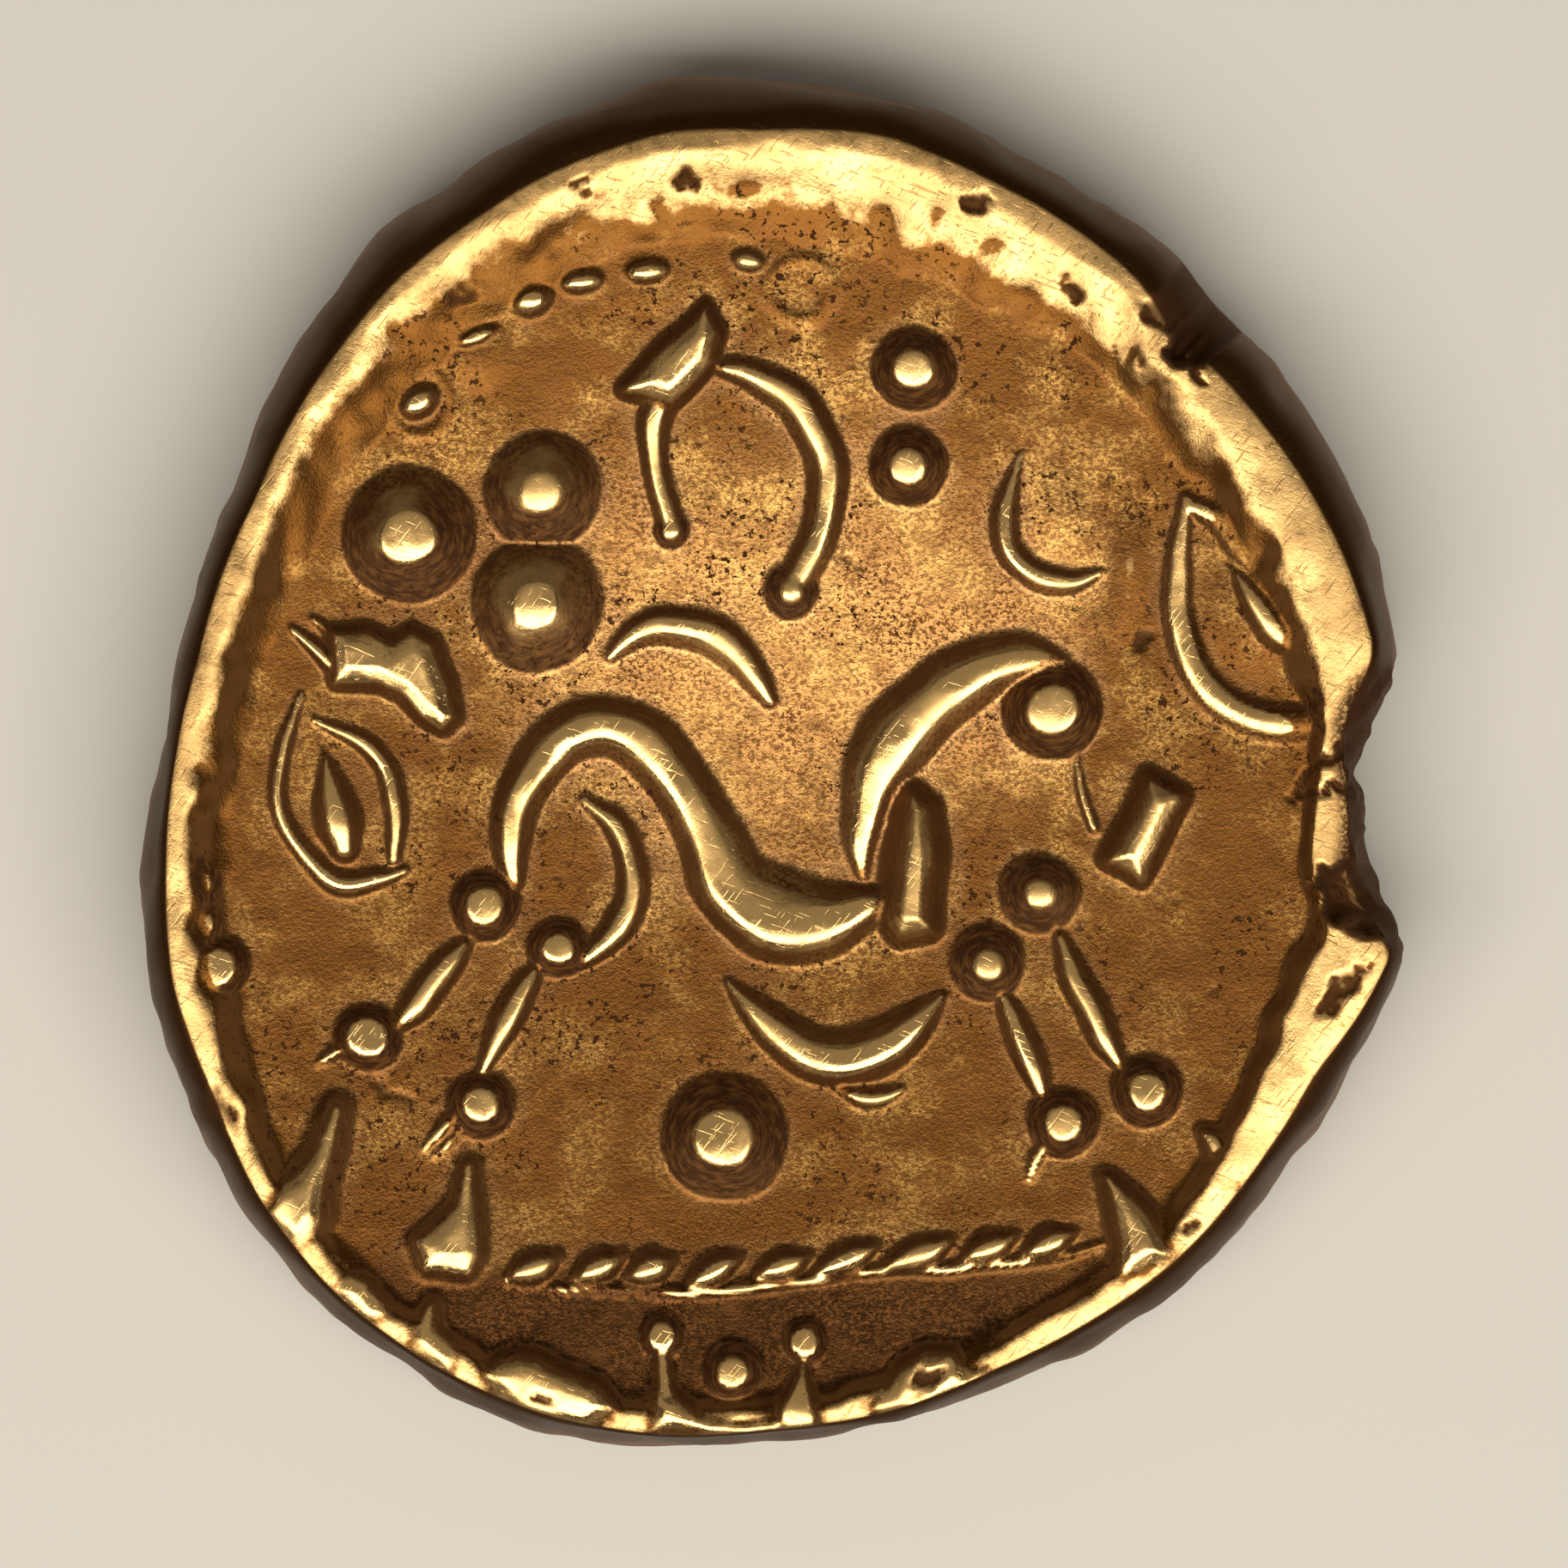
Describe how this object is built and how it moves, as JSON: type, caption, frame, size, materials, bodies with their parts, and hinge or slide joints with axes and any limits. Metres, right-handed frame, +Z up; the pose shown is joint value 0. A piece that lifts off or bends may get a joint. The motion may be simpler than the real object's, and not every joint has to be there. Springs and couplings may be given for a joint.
{
  "type": "gold coin",
  "caption": "Irregular dished gold coin struck on one side with a disjointed horse, pellets, crescents and a twisted ground line, plain bulging back",
  "frame": {"origin": "middle of the coin's bounding box, on the level that it rests on", "axes": "+Z up, out of the struck side; +Y towards the top of the design, along the coin's longest side; +X to the right of the design"},
  "size_m": [0.0166, 0.018, 0.0027],
  "materials": {
    "gold": "worn gold, polished on the high places, with brown dirt in the low ones"
  },
  "bodies": {
    "root": {"coin": "gold"}
  },
  "joints": []
}
